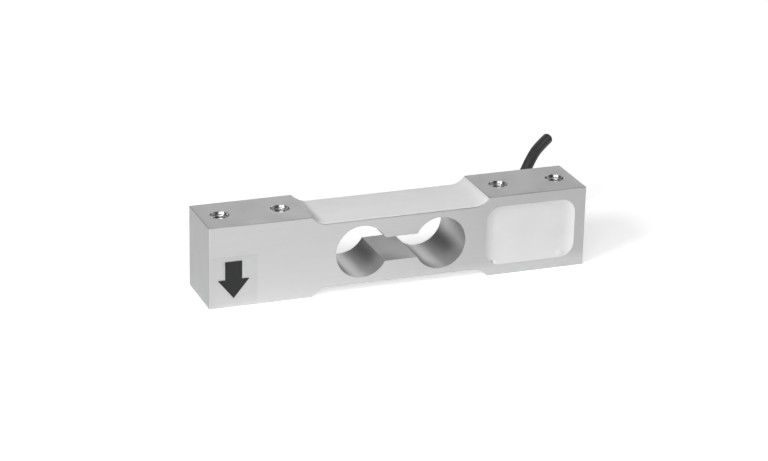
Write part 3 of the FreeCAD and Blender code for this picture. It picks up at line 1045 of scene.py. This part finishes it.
def area_light(name, place, width, height, energy):
    """A soft panel that faces the part."""
    lamp = bpy.data.lights.new(name, "AREA")
    lamp.shape = "RECTANGLE"
    lamp.size = width
    lamp.size_y = height
    lamp.energy = energy
    light = linked(name, lamp)
    light.location = place
    light.rotation_mode = "QUATERNION"
    light.rotation_quaternion = (studio_aim - Vector(place)).to_track_quat("-Z", "Y")


def around(azimuth, elevation):
    """A place a metre from the part: azimuth 0 is behind it, 90 to its right and 180 in front."""
    turn = math.radians(azimuth)
    rise = math.radians(elevation)
    return (math.sin(turn) * math.cos(rise), math.cos(turn) * math.cos(rise), math.sin(rise))


def make_floor():
    """A pale floor that is white to the camera and in reflections, and keeps the part's shadow near it."""
    mesh = bpy.data.meshes.new("studio_floor")
    sides = ((-1, -1), (1, -1), (1, 1), (-1, 1))
    corners = [(x * floor_reach, y * floor_reach, -floor_gap) for x, y in sides]
    mesh.from_pydata(corners, [], [(0, 1, 2, 3)])
    floor = linked("studio_floor", mesh)
    material, tree, shader = new_finish("pale_floor", (0.95, 0.95, 0.95), roughness=0.9)
    shader.inputs["Specular IOR Level"].default_value = 0.0
    place = add_node(tree, "ShaderNodeTexCoord").outputs["Object"]
    distance = add_node(tree, "ShaderNodeVectorMath", {0: place}, operation="LENGTH").outputs["Value"]
    white_share = ramp(tree, distance, *floor_whites, *floor_white_distances)
    rays = add_node(tree, "ShaderNodeLightPath").outputs
    strength = maths(tree, "MULTIPLY_ADD", rays["Is Camera Ray"], white_share, floor_glow)
    seen = maths(tree, "MAXIMUM", rays["Is Camera Ray"], rays["Is Glossy Ray"])
    seen = maths(tree, "MAXIMUM", seen, rays["Is Transmission Ray"])
    glow = add_node(tree, "ShaderNodeEmission", {"Color": (1, 1, 1, 1), "Strength": strength}).outputs[0]
    both = add_node(tree, "ShaderNodeAddShader", {0: shader.outputs[0], 1: glow}).outputs[0]
    mixed = add_node(tree, "ShaderNodeMixShader", {0: seen, 1: shader.outputs[0], 2: both}).outputs[0]
    tree.links.new(mixed, tree.nodes["Material Output"].inputs["Surface"])
    dress(floor, material)


def make_studio():
    """Soft panels behind the part, to its right and to the front left, and a faint sky, seen white.

    A panel has its azimuth and elevation in degrees, its width and height in metres, its power in watts.
    """
    bpy.context.scene.view_settings.view_transform = "Standard"
    world = bpy.data.worlds.new("studio")
    bpy.context.scene.world = world
    world.use_nodes = True
    sky = world.node_tree.nodes["Background"]
    sky.inputs["Color"].default_value = (1.0, 1.0, 1.0, 1.0)
    rays = add_node(world.node_tree, "ShaderNodeLightPath").outputs
    strength = ramp(world.node_tree, rays["Is Camera Ray"], sky_strength, 1.0, 0.0, 1.0)
    world.node_tree.links.new(strength, sky.inputs["Strength"])
    panels = (
        ("back_middle", 5, 20, 0.4, 0.35, 0.36),
        ("back_right", 25, 20, 0.4, 0.35, 1.0),
        ("right", 90, 40, 0.5, 0.5, 1.4),
        ("front_left", -150, 22, 0.5, 0.45, 2.69),
        ("far_left", -118, 35, 0.3, 0.3, 5.06),
        ("front_high_left", -145, 50, 0.7, 0.5, 1.39),
    )
    for name, azimuth, elevation, width, height, energy in panels:
        area_light(name, around(azimuth, elevation), width, height, energy)


aluminium = milled_aluminium()
coat_silicone = cast_silicone("coat_silicone", coat_front_painted_light)
potting_silicone = cast_silicone("potting_silicone", 1.0)
bush_rubber = plain_finish(
    "bush_rubber", (0.03, 0.03, 0.03), roughness=0.6, grain_size=0.25 * MM, grain_depth=0.01 * MM
)
jacket = plain_finish(
    "jacket_plastic",
    (0.047, 0.047, 0.048),
    roughness=0.45,
    grain_size=0.6 * MM,
    grain_depth=0.012 * MM,
    variation=0.3,
)
copper = plain_finish("copper", (0.72, 0.38, 0.2), roughness=0.3, metallic=1.0, grain_size=0.1 * MM)
core_finishes = {
    "black": plain_finish("core_black_plastic", (0.03, 0.03, 0.03), roughness=0.4),
    "white": plain_finish("core_white_plastic", (0.82, 0.82, 0.8), roughness=0.4),
    "green": plain_finish("core_green_plastic", (0.05, 0.35, 0.11), roughness=0.4),
    "red": plain_finish("core_red_plastic", (0.6, 0.045, 0.035), roughness=0.4),
}
node_finishes = {
    "spring_body": aluminium,
    "top_gauge_coating": coat_silicone,
    "bottom_gauge_coating": coat_silicone,
    "pocket_potting": potting_silicone,
    "arrow_label": clear_film(),
    "load_arrow": black_ink(),
    "cable": jacket,
    "cable_bush": bush_rubber,
    "terminal_board": plain_finish("green_laminate", (0.06, 0.3, 0.15), roughness=0.35),
    "terminal_pads": copper,
}
for colour, finish in core_finishes.items():
    node_finishes["core_" + colour] = finish
gauge_film = plain_finish("amber_film", (0.62, 0.33, 0.07), roughness=0.25)
gauge_foil = plain_finish(
    "rolled_foil", (0.66, 0.57, 0.45), roughness=0.3, metallic=1.0, grain_size=0.15 * MM
)
solder = plain_finish(
    "tin_solder", (0.72, 0.73, 0.74), roughness=0.25, metallic=1.0, grain_size=0.3 * MM
)
enamel = plain_finish(
    "enamelled_wire", (0.6, 0.28, 0.12), roughness=0.3, metallic=0.8, grain_size=0.2 * MM
)
ceramic = plain_finish("resistor_body", (0.05, 0.05, 0.06), roughness=0.5, grain_size=0.15 * MM)
for node_name in frame["nodes"]:
    if node_name.startswith("gauge_film"):
        node_finishes[node_name] = gauge_film
    elif node_name.startswith("gauge_foil"):
        node_finishes[node_name] = gauge_foil
    elif node_name.endswith("solder"):
        node_finishes[node_name] = solder
    elif node_name.endswith("leads"):
        node_finishes[node_name] = enamel
    elif node_name.endswith("resistor"):
        node_finishes[node_name] = ceramic
for node_name, finish in node_finishes.items():
    dress(frame["nodes"][node_name], finish)

body_finishes = {
    "milled": aluminium,
    # The ends and the slot are painted darker: painted shade
    "end_painted_shade": painted_shade_aluminium("painted_shade_aluminium", shade=0.5),
    "slot_painted_shade": painted_shade_aluminium("slot_painted_shade_aluminium", shade=0.46),
    "bored": bored_aluminium(),
    "drilled": drilled_aluminium(),
}
make_body(body_finishes)
make_threads(thread_aluminium())
make_coat("top_coat", "top_gauge_coating", coat_silicone, on_top=True)
make_coat("bottom_coat", "bottom_gauge_coating", coat_silicone, on_top=False)
make_potting(potting_silicone)

cable_path = line_points(cable_line())
cable_end = frames_along(cable_path)[-1]
cable = make_cable(cable_path, jacket)
make_inner_cable(jacket)
cut_cores = make_cut_cores(cable_end, core_finishes)
cut_strands = make_strands(cable_end, len(core_finishes), copper)

make_camera()
make_floor()
make_studio()
